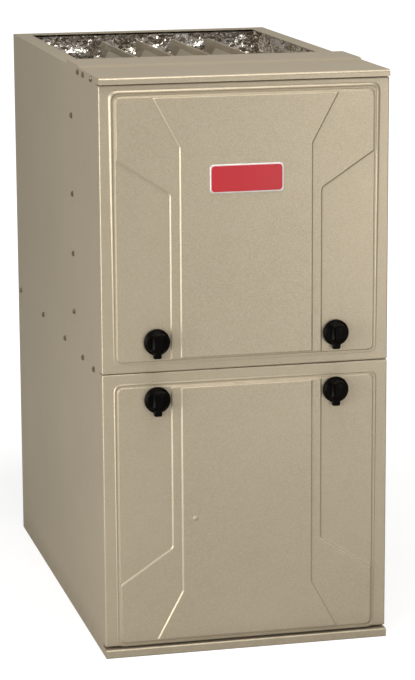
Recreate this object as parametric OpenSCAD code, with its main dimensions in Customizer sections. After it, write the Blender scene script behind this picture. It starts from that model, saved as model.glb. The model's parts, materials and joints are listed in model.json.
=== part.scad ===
// Forced air gas furnace, upflow, two-stage heat exchanger, for a home basement or closet.
// Frame: +Z up, X across the front, the doors face -Y, origin on the floor under the middle.

/* [Casing] */
// Width of the casing over its side sheets
casing_w = 444.5; // [430:0.5:470]
// Depth of the casing from its front edges to its back sheet
casing_d = 729; // [715:1:760]
// Height of the furnace from the floor to the top plate
casing_h = 889; // [880:1:920]
// Thickness of the casing, deck and door sheet
sheet = 1.2; // [1:0.1:1.5]
// Width of the flanges turned in at the front edges and round the foot
casing_flange = 19; // [16:1:24]
// Width of the flanges turned in round the supply air outlet
duct_flange = 27; // [24:1:32]
// Height of the joint between the two doors
split_z = 442; // [436:1:448]
// Depth of the burner compartment behind the casing's front edges
vestibule_d = 230; // [226:1:240]
// Diameter of the casing screws' washer heads
screw_d = 8; // [6:0.5:10]
// Height of the casing screws' heads
screw_h = 1.3; // [1:0.1:2]

/* [Top plate and base] */
// Height of the top plate's raised band above the casing's top flanges
top_rise = 6; // [5:0.5:8]
// Drop from the raised band to the flat front of the top plate
top_step = 3; // [2:0.5:4]
// Distance from the door face back to the raised band
top_band_y = 143; // [120:1:170]
// Height of the top plate's front lip
top_lip_h = 10; // [8:1:14]
// How far the top plate's lip stands ahead of the door face
top_lip_out = 4; // [3:0.5:6]
// Height of the base channel under the lower door
base_lip_h = 13; // [11:0.5:16]
// How far the base channel stands ahead of the door face
base_lip_out = 7; // [6:0.5:9]
// Width of the return air inlet in the base
return_w = 360; // [320:1:380]
// Depth of the return air inlet in the base
return_d = 560; // [500:1:600]

/* [Doors] */
// Depth of the door pans
door_t = 20; // [18:0.5:24]
// Gap between the upper door and the top plate's lip, and half the gap between the doors
door_gap = 1; // [0.8:0.1:1.5]
// Gap left where a door or a running piece rests on its seat
seat_gap = 0.3; // [0.2:0.05:0.5]
// Height of each of the three pressed steps of a door
relief_step = 2; // [1.2:0.1:2.4]
// Run of a pressed wall for each millimetre of its height
relief_run = 1; // [0.8:0.1:1.6]
// Height of the bead round the pressed field
bead_h = 1.6; // [1:0.1:2]
// Diameter of the rolled hem on which each door tilts
hem_d = 2.2; // [2:0.1:3]
// Width of the flat border beside the pressed field
side_border = 18; // [16:0.5:20]
// Width of the flat border at the knob end of each door
knob_border = 17; // [15:0.5:19]
// Width of the flat border at the upper door's top
top_border = 12; // [10:0.5:14]
// Width of the flat border at the lower door's foot
foot_border = 7.5; // [7:0.5:9]
// Width of the raised middle panel
middle_w = 206; // [196:1:212]
// Width of the middle step between the knob panels
terrace_w = 236; // [230:1:244]
// Thickness of the insulation on the back of each door
door_liner_t = 10; // [6:0.5:11]

/* [Quarter-turn latches] */
// Diameter of the knobs
knob_d = 40; // [36:1:44]
// Height of the knobs over the door face
knob_h = 23; // [20:1:26]
// Distance of each knob from the middle of the door
knob_x = 139; // [136:1:146]
// Distance of the upper and the lower knobs from the joint between the doors
knob_offset = [47, 41.5];
// Diameter of the latch studs
stud_d = 8; // [6:0.5:10]
// Length of the latch blades
blade_l = 28; // [24:1:32]
// Height of the latch blades
blade_h = 8; // [6:0.5:9]
// Thickness of the latch blades
blade_t = 3; // [2:0.5:4]

/* [Primary heat exchanger] */
// Number of serpentine cells
cell_n = 4; // [3:1:4]
// Spacing of the cells
cell_pitch = 61; // [58:1:66]
// Distance from the top of the casing down to the axis of the burners
burner_drop = 62; // [58:1:70]
// Length of the cells from front to back
cell_l = 386; // [370:1:396]
// Heights of the three passes of a cell, from the burner down
pass_h = [60, 52, 46];
// Widths of the three passes of a cell
pass_w = [46, 32, 24];
// Slope of the roof over the first pass
cell_roof_a = 32; // [30:1:45]
// Height of the seam above the roof of a cell
seam_rise = 8.5; // [4:0.5:8.5]
// Gap between one pass and the next
pass_gap = 18; // [14:1:22]
// Thickness of the cell sheet
cell_sheet = 1.2; // [1:0.1:1.5]

/* [Secondary coil] */
// Height of the secondary coil
coil_h = 118; // [100:1:124]
// Width of the secondary coil
coil_w = 350; // [330:1:370]
// Height of the coil above the blower deck
coil_lift = 24; // [20:1:30]
// Number of fins on the coil
fin_n = 44; // [30:1:50]
// Depth of the collector box in front of the coil
collector_d = 42; // [36:1:48]

/* [Blower] */
// Diameter of the blower wheel
wheel_d = 254; // [240:1:262]
// Width of the blower wheel
wheel_w = 203; // [190:1:210]
// Number of blades on the blower wheel
blade_n = 38; // [28:1:42]
// Radial depth of the wheel's blades
blade_depth = 24; // [20:1:28]
// Gap between the wheel's ends and the housing's sides
wheel_side_gap = 13; // [10:1:16]
// Gap between the wheel and the housing's cut-off
cutoff_gap = 12; // [10:1:16]
// Growth of the scroll from the cut-off to the outlet
scroll_growth = 66; // [55:1:70]
// Diameter of the blower motor
motor_d = 140; // [120:1:150]
// Length of the blower motor
motor_l = 124; // [110:1:130]
// Diameter of the blower motor's shaft
shaft_d = 12.7; // [10:0.1:14]
// Radial clearance of a shaft in its bearing
bearing_gap = 0.05; // [0.02:0.01:0.09]

/* [Inducer and venting] */
// Diameter of the inducer wheel
inducer_d = 110; // [100:1:120]
// Width of the inducer wheel
inducer_w = 34; // [26:1:40]
// Outside diameter of the vent and air pipes that the couplings take
vent_d = 60.3; // [55:0.1:62]
// Wall of the rubber vent coupling
coupling_wall = 3.5; // [3:0.5:5]
// Length of the sockets that take the vent and air pipes
socket_l = 40; // [30:1:50]

/* [Burners and gas] */
// Length of each inshot burner
burner_l = 112; // [100:1:120]
// Diameter of the burners' air bells
bell_d = 40; // [36:1:44]
// Outside diameter of the manifold pipe
manifold_d = 26.7; // [24:0.1:30]
// Gap between the burner box and the manifold pipe
manifold_gap = 18; // [14:1:24]
// Bore of the gas valve's inlet thread
gas_bore = 18.2; // [16:0.1:20]
// Diameter of the gas entry hole in the casing
gas_hole_d = 44; // [38:1:48]

/* [Insulation and controls] */
// Thickness of the foil-faced insulation boards
liner_t = 12; // [8:1:14]
// Size of the control board, across and up
board = [150, 96];
// Diameter of the electrical entry holes
conduit_d = 22.2; // [20:0.1:24]
// Outside diameter of the condensate drain tube
drain_d = 19; // [16:0.5:22]
// Travel of the door switch plunger
plunger_travel = 4; // [2:0.5:5]
// Travel of the rollout switch's reset button
reset_travel = 1.5; // [1:0.5:2]

/* [Hidden] */
$fn = 48;
eps = 0.01;
PAINT = [0.69, 0.66, 0.57];
GALV = [0.72, 0.73, 0.74];
STEEL = [0.62, 0.61, 0.58];
BLACK = [0.08, 0.08, 0.08];
FOIL = [0.85, 0.85, 0.84];

// Main planes
half_w = casing_w / 2;
in_w = half_w - sheet;
back_y = (casing_d + door_t + knob_h) / 2;
edge_y = back_y - casing_d;
face_y = edge_y - door_t;
rear_in = back_y - sheet;
wrap_h = casing_h - top_rise;
cell_y = edge_y + vestibule_d;
panel_flange = 40;
lip_z = casing_h - top_step - top_lip_h;
deck_z = split_z - 12;
deck_top = deck_z + sheet + 14;

// Doors
upper_z0 = split_z + door_gap;
upper_z1 = lip_z - seat_gap - hem_d / 2;
lower_z0 = base_lip_h + seat_gap + hem_d / 2;
lower_z1 = split_z - door_gap;
field_x = half_w - side_border;
upper_field_z = upper_z0 + knob_border;
upper_field_h = upper_z1 - top_border - upper_field_z;
lower_field_z = lower_z1 - knob_border;
lower_field_h = lower_field_z - lower_z0 - foot_border;
upper_hem_y = face_y + 4;
lower_hem_y = face_y + 1.5;
corner_n = 5;

// Latches
knob_z = [split_z + knob_offset[0], split_z - knob_offset[1]];
panel_y = face_y - relief_step;
rail_y = edge_y + sheet;
blade_back = 2.2;
blade_y = rail_y + sheet + blade_back;
notch_l = blade_l + 8;
blade_gap = 2.5;
rail_z0 = knob_z[1] + blade_h / 2 + blade_gap;
rail_z1 = knob_z[0] - blade_h / 2 - blade_gap;
rail_d = 24;

// Heat exchangers
cells_x = [for (i = [0 : cell_n - 1]) (i - (cell_n - 1) / 2) * cell_pitch];
pass_z1 = casing_h - burner_drop;
pass_z2 = pass_z1 - pass_h[0] / 2 - pass_gap - pass_h[1] / 2;
pass_z3 = pass_z2 - pass_h[1] / 2 - pass_gap - pass_h[2] / 2;
mouth_d = pass_w[0] - 2;
hx_y0 = cell_y + sheet;
hx_y1 = hx_y0 + cell_l;
coil_z0 = deck_z + sheet + coil_lift;
coil_z1 = coil_z0 + coil_h;
header_d = 48;

// Blower
wheel_r = wheel_d / 2;
housing_in = wheel_w / 2 + wheel_side_gap;
scroll_r0 = wheel_r + cutoff_gap;
scroll_r1 = scroll_r0 + scroll_growth;
cutoff_a = 72;
wheel_y = 128;
wheel_z = sheet * 2 + 24 + scroll_r0 + scroll_growth * 0.75;
outlet_y0 = wheel_y + scroll_r0 * cos(cutoff_a);
outlet_y1 = wheel_y + scroll_r1;
inlet_r = wheel_r - blade_depth + 6;
hub_x = -22;
mount_x = housing_in + sheet + 6;
band_w = 16;
motor_x1 = mount_x + band_w + 16;
motor_x0 = motor_x1 - motor_l;

// Inducer and venting
fan_x = -52;
fan_z = coil_z0 + coil_h * 0.62;
fan_front = cell_y - collector_d;
fan_depth = vent_d + 2 * coupling_wall + 6;
fan_r = inducer_d / 2 + 8;
fan_shaft_d = 8;
duct_h = vent_d + 6;
vent_y = fan_front - fan_depth / 2;
vent_z = fan_z + fan_r + 10 - duct_h / 2;
nozzle_x = 38;
air_y = cell_y - panel_flange - vent_d / 2 - coupling_wall - 3;

// Burners and gas
box_d = burner_l - 6;
box_y0 = cell_y - box_d;
box_half = (cell_n - 1) / 2 * cell_pitch + bell_d / 2 + 14;
box_z0 = pass_z1 - 38;
box_z1 = pass_z1 + 34;
manifold_y = box_y0 - manifold_gap - manifold_d / 2;
valve = [78, 58, 68];
valve_x = 96;
valve_z1 = box_z0 - 22;
valve_zc = valve_z1 - valve[2] / 2;
riser_d = 21.3;

// Pressure hose
hose_x = 35 - coil_w / 2;
hose_z = (coil_z1 + box_z0) / 2 + 15;

// Condensate
trap_y = fan_front - 28;
drain_z = deck_z + sheet + 26;

// Lower compartment
panel_x0 = -in_w + 14;
panel_z0 = deck_z - 142;
control_y = edge_y + 86;
jbox = [52, 70, 96];
jbox_z0 = deck_z - 132;
jbox_y0 = edge_y + 70;
switch_x = 70;
switch_z = rail_z0 - 20;
liner_back = face_y + sheet + door_liner_t;

// ---------- Helpers ----------

// Block between two opposite corners
module block(a, b) translate(a) cube(b - a);

// Profile drawn in Y and Z, drawn out along X from x0 to x1
module along_x(x0, x1) translate([x0, 0, 0]) rotate([90, 0, 90]) linear_extrude(x1 - x0) children();

// Profile drawn in X and Z, drawn out along Y from y0 to y1
module along_y(y0, y1) translate([0, y1, 0]) rotate([90, 0, 0]) linear_extrude(y1 - y0) children();

// Round bar along X, Y or Z between two places
module bar_x(x0, x1, y, z, d) translate([x0, y, z]) rotate([0, 90, 0]) cylinder(d = d, h = x1 - x0);
module bar_y(y0, y1, x, z, d) translate([x, y0, z]) rotate([-90, 0, 0]) cylinder(d = d, h = y1 - y0);
module bar_z(z0, z1, x, y, d) translate([x, y, z0]) cylinder(d = d, h = z1 - z0);

// Rectangle of half size a by b with round corners of radius r
module round_rect(a, b, r) {
  square([2 * a, 2 * (b - r)], center = true);
  square([2 * (a - r), 2 * b], center = true);
  for (x = [-1, 1], z = [-1, 1]) translate([x * (a - r), z * (b - r)]) circle(r = r);
}

// Upright slot shape, w wide and h high
module stadium(w, h) {
  square([w, h - w], center = true);
  for (z = [-1, 1]) translate([0, z * (h - w) / 2]) circle(d = w);
}

// Points of a closed outline with its corners rounded, each by corner_n chords
function rounded(p, r) = [for (i = [0 : len(p) - 1])
  let (a = p[(i + len(p) - 1) % len(p)], b = p[i], c = p[(i + 1) % len(p)])
  let (u = (a - b) / norm(a - b), v = (c - b) / norm(c - b))
  let (t = min(r / tan(acos(u * v) / 2), 0.45 * norm(a - b), 0.45 * norm(c - b)))
  for (k = [0 : corner_n]) let (s = k / corner_n) b + u * t * pow(1 - s, 2) + v * t * pow(s, 2)];

// Right half of an outline completed with its mirror image
function both_halves(p) = concat(p, [for (i = [len(p) - 1 : -1 : 0]) [-p[i][0], p[i][1]]]);

// Solid skinned over rings of equal length, each given as [outline in X and Z, y].
// Both ends close in level strips between each point and its mirror image
module loft(rings) {
  n = len(rings[0][0]);
  m = len(rings);
  end = (m - 1) * n;
  polyhedron(
    points = [for (ring = rings) for (p = ring[0]) [p[0], ring[1], p[1]]],
    faces = concat([for (j = [0 : n / 2 - 2]) [j, j + 1, n - 2 - j, n - 1 - j]],
      [for (j = [0 : n / 2 - 2]) [end + n - 1 - j, end + n - 2 - j, end + j + 1, end + j]],
      [for (j = [0 : m - 2]) for (i = [0 : n - 1])
        [j * n + i, (j + 1) * n + i, (j + 1) * n + (i + 1) % n, j * n + (i + 1) % n]]));
}

// Closed bead skinned over rings whose last ring joins the first
module loft_loop(rings) {
  n = len(rings[0][0]);
  m = len(rings);
  polyhedron(
    points = [for (ring = rings) for (p = ring[0]) [p[0], ring[1], p[1]]],
    faces = [for (j = [0 : m - 1]) for (i = [0 : n - 1]) let (k = (j + 1) % m)
      [j * n + i, k * n + i, k * n + (i + 1) % n, j * n + (i + 1) % n]]);
}

// ---------- Casing ----------

// Sheet of the whole casing with its flanges. In front of the cell panel it is one sheet lower
module casing_shell() difference() {
  block([-half_w, edge_y, 0], [half_w, back_y, wrap_h]);
  difference() {
    union() {
      block([-in_w, edge_y - 1, sheet], [in_w, cell_y, wrap_h - 2 * sheet]);
      block([-in_w, cell_y - 1, sheet], [in_w, rear_in, wrap_h - sheet]);
    }
    for (s = [-1, 1]) translate([s * (in_w - casing_flange / 2), edge_y + sheet / 2, casing_h / 2])
      cube([casing_flange + eps, sheet, casing_h], center = true);
  }
  block([-half_w - 1, edge_y - 1, wrap_h - sheet], [half_w + 1, cell_y, casing_h]);
  block([casing_flange - in_w, edge_y - 1, -1],
    [in_w - casing_flange, back_y - casing_flange, casing_flange]);
  block([duct_flange - half_w, edge_y - 1, wrap_h - casing_flange],
    [half_w - duct_flange, back_y - duct_flange, casing_h]);
}

// Room of the right side panel with its flanges, up to the back sheet
module side_room() {
  block([in_w, edge_y - 2, -1], [half_w + 2, back_y + 1, casing_h]);
  block([half_w - duct_flange - 2, edge_y - 2, -1], [half_w + 1, back_y - duct_flange, casing_h]);
}

// Left side and back, folded from one sheet
module casing_wrap() color(PAINT) difference() {
  casing_shell();
  side_room();
}

// Right side panel with the entries for vent, air, gas, drain and cable
module casing_side() color(PAINT) difference() {
  intersection() {
    casing_shell();
    side_room();
  }
  bar_x(half_w - 9, half_w + 1, vent_y, vent_z, vent_d + 2 * coupling_wall + 0.4);
  bar_x(half_w - 9, half_w + 1, air_y, pass_z1, vent_d + 2 * coupling_wall + 0.4);
  bar_x(half_w - 9, half_w + 1, manifold_y, valve_zc, gas_hole_d);
  bar_x(half_w - 9, half_w + 1, trap_y, drain_z, drain_d + 0.4);
  bar_x(half_w - 9, half_w + 1, jbox_y0 + jbox[1] / 2, jbox_z0 + jbox[2] / 2, conduit_d);
}

// Outline of the top plate in Y and Z; g draws it in by the thickness of the sheet
function top_outline(g) = let (y0 = face_y - top_lip_out + g, z1 = casing_h - g, r = 4)
  let (z0 = z1 - top_step, y1 = face_y + top_band_y, y2 = cell_y - g)
  concat([[y2, wrap_h - 2 * g], [y2, z1 - 1.5], [y2 - 1.5, z1], [y1 + 9, z1], [y1, z0]],
    [for (k = [0 : 4]) [y0 + r - r * sin(k * 22.5), z0 - r + r * cos(k * 22.5)]],
    [[y0, lip_z + (g > 0 ? sheet : 0)], [edge_y, lip_z + (g > 0 ? sheet : 0)], [edge_y, wrap_h - 2 * g]]);

module top_plate() color(PAINT) {
  difference() {
    along_x(-half_w, half_w) polygon(top_outline(0));
    along_x(-half_w + sheet, half_w - sheet) polygon(top_outline(sheet));
    block([-half_w + sheet, face_y + 9, lip_z - 1], [half_w - sheet, edge_y + 1, lip_z + 2 * sheet]);
  }
  for (s = [-1, 1]) translate([s * (half_w - sheet / 2), 0, wrap_h])
    block([-sheet / 2, edge_y, -sheet], [sheet / 2, cell_y, 1]);
}

module base_pan() color(PAINT) {
  y0 = face_y - base_lip_out;
  difference() {
    union() {
      difference() {
        along_x(-half_w, half_w) polygon([[y0, 1.5], [y0 + 1.5, 0], [edge_y, 0], [edge_y, base_lip_h],
          [y0 + 1.5, base_lip_h], [y0, base_lip_h - 1.5]]);
        block([-half_w + sheet, y0 + sheet, sheet], [half_w - sheet, edge_y + 1, base_lip_h - sheet]);
      }
      block([casing_flange - in_w, edge_y - 10, sheet - eps], [in_w - casing_flange, edge_y + 10, 2 * sheet]);
      block([-in_w, edge_y + sheet, sheet], [in_w, rear_in, 2 * sheet + 22]);
    }
    block([-in_w + sheet, edge_y, 2 * sheet], [in_w - sheet, rear_in - sheet, 60]);
    translate([0, (edge_y + rear_in) / 2 + 20, 0]) cube([return_w, return_d, 40], center = true);
  }
}

module blower_deck() color(GALV) difference() {
  y0 = rail_y + sheet;
  block([-in_w, y0, deck_z], [in_w, rear_in, deck_top]);
  block([-in_w + sheet, y0 - 1, deck_z + sheet], [in_w - sheet, rear_in - sheet, deck_top + 1]);
  block([-housing_in, outlet_y0, deck_z - 2], [housing_in, outlet_y1, deck_z + 3]);
  for (x = [-176, 176]) bar_z(deck_z - 2, deck_z + 3, x, edge_y + 62, conduit_d);
}

// Channel that the blades turn up behind, its flanges notched where they do
module center_rail() color(GALV) difference() {
  block([-in_w, rail_y, rail_z0], [in_w, rail_y + rail_d, rail_z1]);
  block([-in_w - 1, rail_y + sheet, rail_z0 + sheet], [in_w + 1, rail_y + rail_d + 1, rail_z1 - sheet]);
  for (x = [-knob_x, knob_x], z = [rail_z0, rail_z1])
    translate([x, rail_y + sheet + rail_d / 2, z]) cube([notch_l, rail_d, 4 * sheet], center = true);
}

module cell_panel() color(GALV) difference() {
  union() {
    block([-in_w + sheet, cell_y, deck_z + sheet], [in_w - sheet, hx_y0, wrap_h - sheet]);
    for (s = [-1, 1]) translate([s * (in_w - sheet / 2), 0, 0])
      block([-sheet / 2, cell_y - panel_flange, deck_top], [sheet / 2, hx_y0, wrap_h - 2 * sheet]);
    block([-half_w + duct_flange, cell_y - 14, wrap_h - sheet], [half_w - duct_flange, hx_y0, wrap_h]);
  }
  for (x = cells_x) bar_y(cell_y - 1, hx_y0 + 1, x, pass_z1, mouth_d + 0.3);
  block([14 - coil_w / 2, cell_y - 1, coil_z0 + 10], [coil_w / 2 - 14, hx_y0 + 1, coil_z1 - 10]);
}

// Blanket of glass wool with a foil face, folded round the back and both sides
module foil_liner() color(FOIL) difference() {
  block([-in_w, hx_y0, deck_top], [in_w, rear_in, wrap_h - sheet]);
  block([-in_w + liner_t, hx_y0 - 1, deck_top - 1], [in_w - liner_t, rear_in - liner_t, wrap_h]);
}

// Washer-head screws along the top plate, down the cell panel's flanges and along the deck
module casing_screws() color(PAINT) for (s = [-1, 1]) {
  for (y = [52, 114, 155]) screw_head(s, face_y + y, casing_h - top_rise - 4);
  for (z = [498, 590, 684, 806]) screw_head(s, cell_y - panel_flange / 2 - 16, z);
  for (y = [62, 148, 298, 495, 718]) screw_head(s, face_y + y, deck_z + sheet + 7);
}

module screw_head(s, y, z) translate([s * half_w, y, z]) rotate([0, s * 90, 0]) {
  cylinder(d = screw_d, h = 0.5);
  cylinder(d1 = screw_d - 2, d2 = screw_d - 4, h = screw_h);
}

// ---------- Doors ----------

// Walls of the pressed field at height h above the foot of its wall, as insets
function inset(h) = h * relief_run;

// Outline of one pressed level: 1 is the whole field, 2 the terrace, 3 the middle panel.
// t runs from the knob end of the door, f is the field's inset and g the level's own
function level_outline(level, height, f, g) =
  let (x = field_x - f, top = height - f, far = 91)
  let (bx = terrace_w / 2, bm = 0.66, bk = g * sqrt(1 + bm * bm), b0 = height - 150)
  let (ax = middle_w / 2, am = 1.85, ak = g * sqrt(1 + am * am), a0 = height - 80)
  level == 1 ? [[x, f], [x, top]]
  : level == 2 ? [[bx - g, f], [bx - g, b0 - g * bm + bk], [x, b0 + (x - bx) * bm + bk], [x, top]]
  : [[ax - g, f], [ax - g, a0 - g * am + ak], [ax + (top - a0 - ak) / am, top]];

// Outline put in its place: up from height z where dir is 1, down from it where dir is -1
function placed(p, z, dir) = [for (i = [0 : len(p) - 1])
  let (q = p[dir > 0 ? i : len(p) - 1 - i]) [q[0], z + dir * q[1]]];

// One pressed level with a rounded wall, standing on the level below it
module pressed_level(level, height, z, dir) {
  h0 = (level - 1) * relief_step;
  profile = [[-1, 0], [0.15, 0.25], [0.8, 0.7], [1, 1]];
  loft([for (q = profile)
    let (h = h0 + max(q[0], 0) * relief_step, w = q[1] * relief_step)
    let (p = level_outline(level, height, inset(h0 + w), level > 1 ? inset(w) : 0))
    [placed(rounded(both_halves(p), 9), z, dir), face_y - (q[0] < 0 ? h0 - 0.45 : h)]]);
}

// Bead round the field, standing outside the foot of its wall
module border_bead(height, z, dir) {
  profile = [[7.4, -0.4], [6.4, bead_h], [4.8, bead_h], [3.6, -0.4]];
  loft_loop([for (q = profile)
    [placed(rounded(both_halves(level_outline(1, height, -q[0], 0)), 12), z, dir), face_y - q[1]]]);
}

// Door pan between heights z0 and z1, with its edges folded back to the casing
module door_pan(z0, z1) {
  r = 2;
  rear = edge_y - seat_gap;
  difference() {
    intersection() {
      along_x(-half_w, half_w) polygon([[face_y + r, z0], [rear, z0], [rear, z1], [face_y + r, z1],
        [face_y + 0.6, z1 - 0.6], [face_y, z1 - r], [face_y, z0 + r], [face_y + 0.6, z0 + 0.6]]);
      translate([0, 0, z0]) linear_extrude(z1 - z0) polygon(both_halves([[half_w, rear],
        [half_w, face_y + r], [half_w - 0.6, face_y + 0.6], [half_w - r, face_y]]));
    }
    block([-in_w, face_y + sheet, z0 + sheet], [in_w, edge_y, z1 - sheet]);
  }
}

module door_press(height, z, dir) {
  border_bead(height, z, dir);
  for (level = [1 : 3]) pressed_level(level, height, z, dir);
}

// Rolled hem on which a door tilts, along the edge of its pan
module door_hem(y, z) bar_x(30 - half_w, half_w - 30, y, z, hem_d);

module stud_holes(z, d, y0, y1) for (x = [-knob_x, knob_x]) bar_y(y0, y1, x, z, d);

module upper_door() color(PAINT) difference() {
  union() {
    door_pan(upper_z0, upper_z1);
    door_press(upper_field_h, upper_field_z, 1);
    door_hem(upper_hem_y, upper_z1);
  }
  stud_holes(knob_z[0], stud_d + 2 * bearing_gap, face_y - 9, edge_y);
}

module lower_door() color(PAINT) difference() {
  union() {
    door_pan(lower_z0, lower_z1);
    door_press(lower_field_h, lower_field_z, -1);
    door_hem(lower_hem_y, lower_z0);
  }
  stud_holes(knob_z[1], stud_d + 2 * bearing_gap, face_y - 9, edge_y);
}

module door_liner(z0, z1, z) color(FOIL) difference() {
  block([6 - in_w, face_y + sheet, z0 + 8], [in_w - 6, liner_back, z1 - 8]);
  stud_holes(z, stud_d + 16, face_y, edge_y);
}

// ---------- Latches ----------

// Knob with a stepped skirt, a domed cap and a finger tab that points down at rest
module latch_knob(x, z) color(BLACK) translate([x, panel_y - seat_gap, z]) rotate([90, 0, 0]) {
  h = knob_h - relief_step - seat_gap;
  r = knob_d / 2;
  difference() {
    union() {
      rotate_extrude($fn = 64) polygon([[0, 0], [r - 0.6, 0], [r, 0.8], [r, 5], [r - 0.6, 6],
        [r - 3, 7], [r - 4.4, h - 4], [r - 5, h - 2], [r - 6.4, h - 0.6], [r - 8, h], [0, h]]);
      translate([0, 0, h / 2 - 0.5]) cube([9, 2 * r - 7, h - 1], center = true);
      translate([0, -r - 0.5, relief_step + 0.6]) linear_extrude(7) round_rect(6.5, 4.5, 3);
    }
    for (s = [-1, 1]) translate([s * 15.4, 0, h + 2]) cube([14, 2 * r - 14, 12], center = true);
    translate([0, 0, -1]) cylinder(d = stud_d + 0.06, h = h - 5);
  }
}

// Stud with its stop collar inside the door and its blade behind the rail
module latch_stud(x, z) color(GALV) translate([x, 0, z]) {
  bar_y(face_y - knob_h + 8, blade_y + eps, 0, 0, stud_d);
  bar_y(face_y + sheet + seat_gap, face_y + sheet + seat_gap + 2, 0, 0, stud_d + 7);
  translate([-blade_l / 2, blade_y, -blade_h / 2]) cube([blade_l, blade_t, blade_h]);
}

// ---------- Heat exchangers ----------

// The gas path of a cell, drawn in by g for its hollow
module cell_path(g) {
  y0 = hx_y0 + 12 + g;
  bend1 = (pass_z1 - pass_z2) / 2;
  bend2 = (pass_z2 - pass_z3) / 2;
  rear = hx_y1 - 10 - bend1 - pass_w[1];
  front = hx_y0 + 14 + bend2 + pass_h[1] / 2;
  bar_y(cell_y - 2 - g, y0, 0, pass_z1, mouth_d - 2 * g);
  cell_pass(0, y0, rear - g, pass_z1, g);
  cell_pass(1, rear - 3, rear, pass_z1, g);
  cell_pass(1, front + g, rear, pass_z2, g);
  cell_pass(2, front, front + 3, pass_z2, g);
  cell_pass(2, front, hx_y1 + 4 + g, pass_z3, g);
  translate([0, rear, (pass_z1 + pass_z2) / 2]) rotate([0, 90, 0]) rotate_extrude(angle = 180)
    translate([bend1, 0]) rotate(90) pass_section(1, g);
  translate([0, front, (pass_z2 + pass_z3) / 2]) rotate([0, 90, 0]) rotate([0, 0, 180])
    rotate_extrude(angle = 180) translate([bend2, 0]) rotate(90) pass_section(2, g);
}

// Section of a pass. The first one carries a roof, whose ridge is the seam of the two halves
module pass_section(i, g) if (i > 0) stadium(pass_w[i] - 2 * g, pass_h[i] - 2 * g); else {
  w = pass_w[0] / 2 - g;
  foot = (pass_w[0] - pass_h[0]) / 2;
  eave = w * tan(cell_roof_a / 2);
  polygon([[-w, foot], [-w, eave], [0, w / sin(cell_roof_a)], [w, eave], [w, foot]]);
  translate([0, foot]) circle(r = w);
}
module cell_pass(i, y0, y1, z, g) along_y(y0, y1) translate([0, z]) pass_section(i, g);

// Clamshell cell: two pressed halves seamed along a flat web, with three passes of hot gas
module heat_cell(i) color(STEEL) translate([cells_x[i - 1], 0, 0]) difference() {
  web_z0 = pass_z3 - pass_h[2] / 2 - 1;
  web_z1 = pass_z1 + pass_w[0] / 2 / sin(cell_roof_a) + seam_rise;
  union() {
    cell_path(0);
    rotate([0, 0, 90]) along_y(-cell_sheet, cell_sheet)
      translate([(hx_y0 + hx_y1) / 2, (web_z0 + web_z1) / 2])
        round_rect(cell_l / 2 - 4, (web_z1 - web_z0) / 2, 14);
  }
  cell_path(cell_sheet);
}

module coupling_box() color(STEEL) {
  half = cells_x[cell_n - 1] + 42;
  z1 = pass_z3 + 40;
  difference() {
    block([-coil_w / 2, hx_y1, coil_z0 - 4], [coil_w / 2, hx_y1 + header_d, z1]);
    block([sheet - coil_w / 2, hx_y1 + sheet, coil_z0 - 4 + sheet],
      [coil_w / 2 - sheet, hx_y1 + header_d - sheet, z1 - sheet]);
    for (x = cells_x) translate([x, 0, pass_z3]) along_y(hx_y1 - 1, hx_y1 + sheet + 1)
      stadium(pass_w[2] + 0.3, pass_h[2] + 0.3);
    block([14 - coil_w / 2, hx_y1 - 1, coil_z0 + 10], [coil_w / 2 - 14, hx_y1 + sheet + 1, coil_z1 - 10]);
  }
}

// Fin pack with its end plates and the mouths of its tubes
module secondary_coil() color(FOIL) {
  pitch = (cell_l - 2 * sheet - 8) / fin_n;
  rows = 3;
  cols = 11;
  difference() {
    union() {
      block([-coil_w / 2, hx_y0, coil_z0], [coil_w / 2, hx_y0 + 2, coil_z1]);
      block([-coil_w / 2, hx_y1 - 2, coil_z0], [coil_w / 2, hx_y1, coil_z1]);
      along_x(-coil_w / 2 + 4, coil_w / 2 - 4) {
        translate([hx_y0, coil_z0 + 8]) square([cell_l, coil_h - 16]);
        for (i = [0 : fin_n - 1]) translate([hx_y0 + 6 + i * pitch, coil_z0 + 2]) square([1, coil_h - 4]);
      }
    }
    for (r = [1 : rows], c = [0 : cols - 1]) {
      x = (c - (cols - 1) / 2) * 28 + (r % 2) * 8 - 4;
      z = coil_z0 + coil_h * r / (rows + 1);
      bar_y(hx_y0 - 1, hx_y0 + 30, x, z, 14);
      bar_y(hx_y1 - 30, hx_y1 + 1, x, z, 14);
    }
  }
}

// Moulded box that gathers the cooled gas and its condensate in front of the coil
module collector_box() color(BLACK) {
  x = coil_w / 2;
  difference() {
    union() {
      block([-x, fan_front, coil_z0 - 6], [x, cell_y, coil_z1 + 6]);
      for (i = [0 : 3]) translate([nozzle_x + 18 + i * 28, fan_front - 3, coil_z1 - 16])
        cube([3, 3 + eps, 18]);
      bar_z(coil_z1 + 5, coil_z1 + 16, hose_x, cell_y - 14, 6);
    }
    block([3 - x, fan_front + 3, coil_z0 - 3], [x - 3, cell_y + 1, coil_z1 + 3]);
    bar_y(fan_front - 1, fan_front + 4, fan_x, fan_z, inducer_d * 0.5);
    bar_y(fan_front - 1, fan_front + 4, x - 30, coil_z0 + 10, 12);
  }
}

// ---------- Inducer and venting ----------

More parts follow.
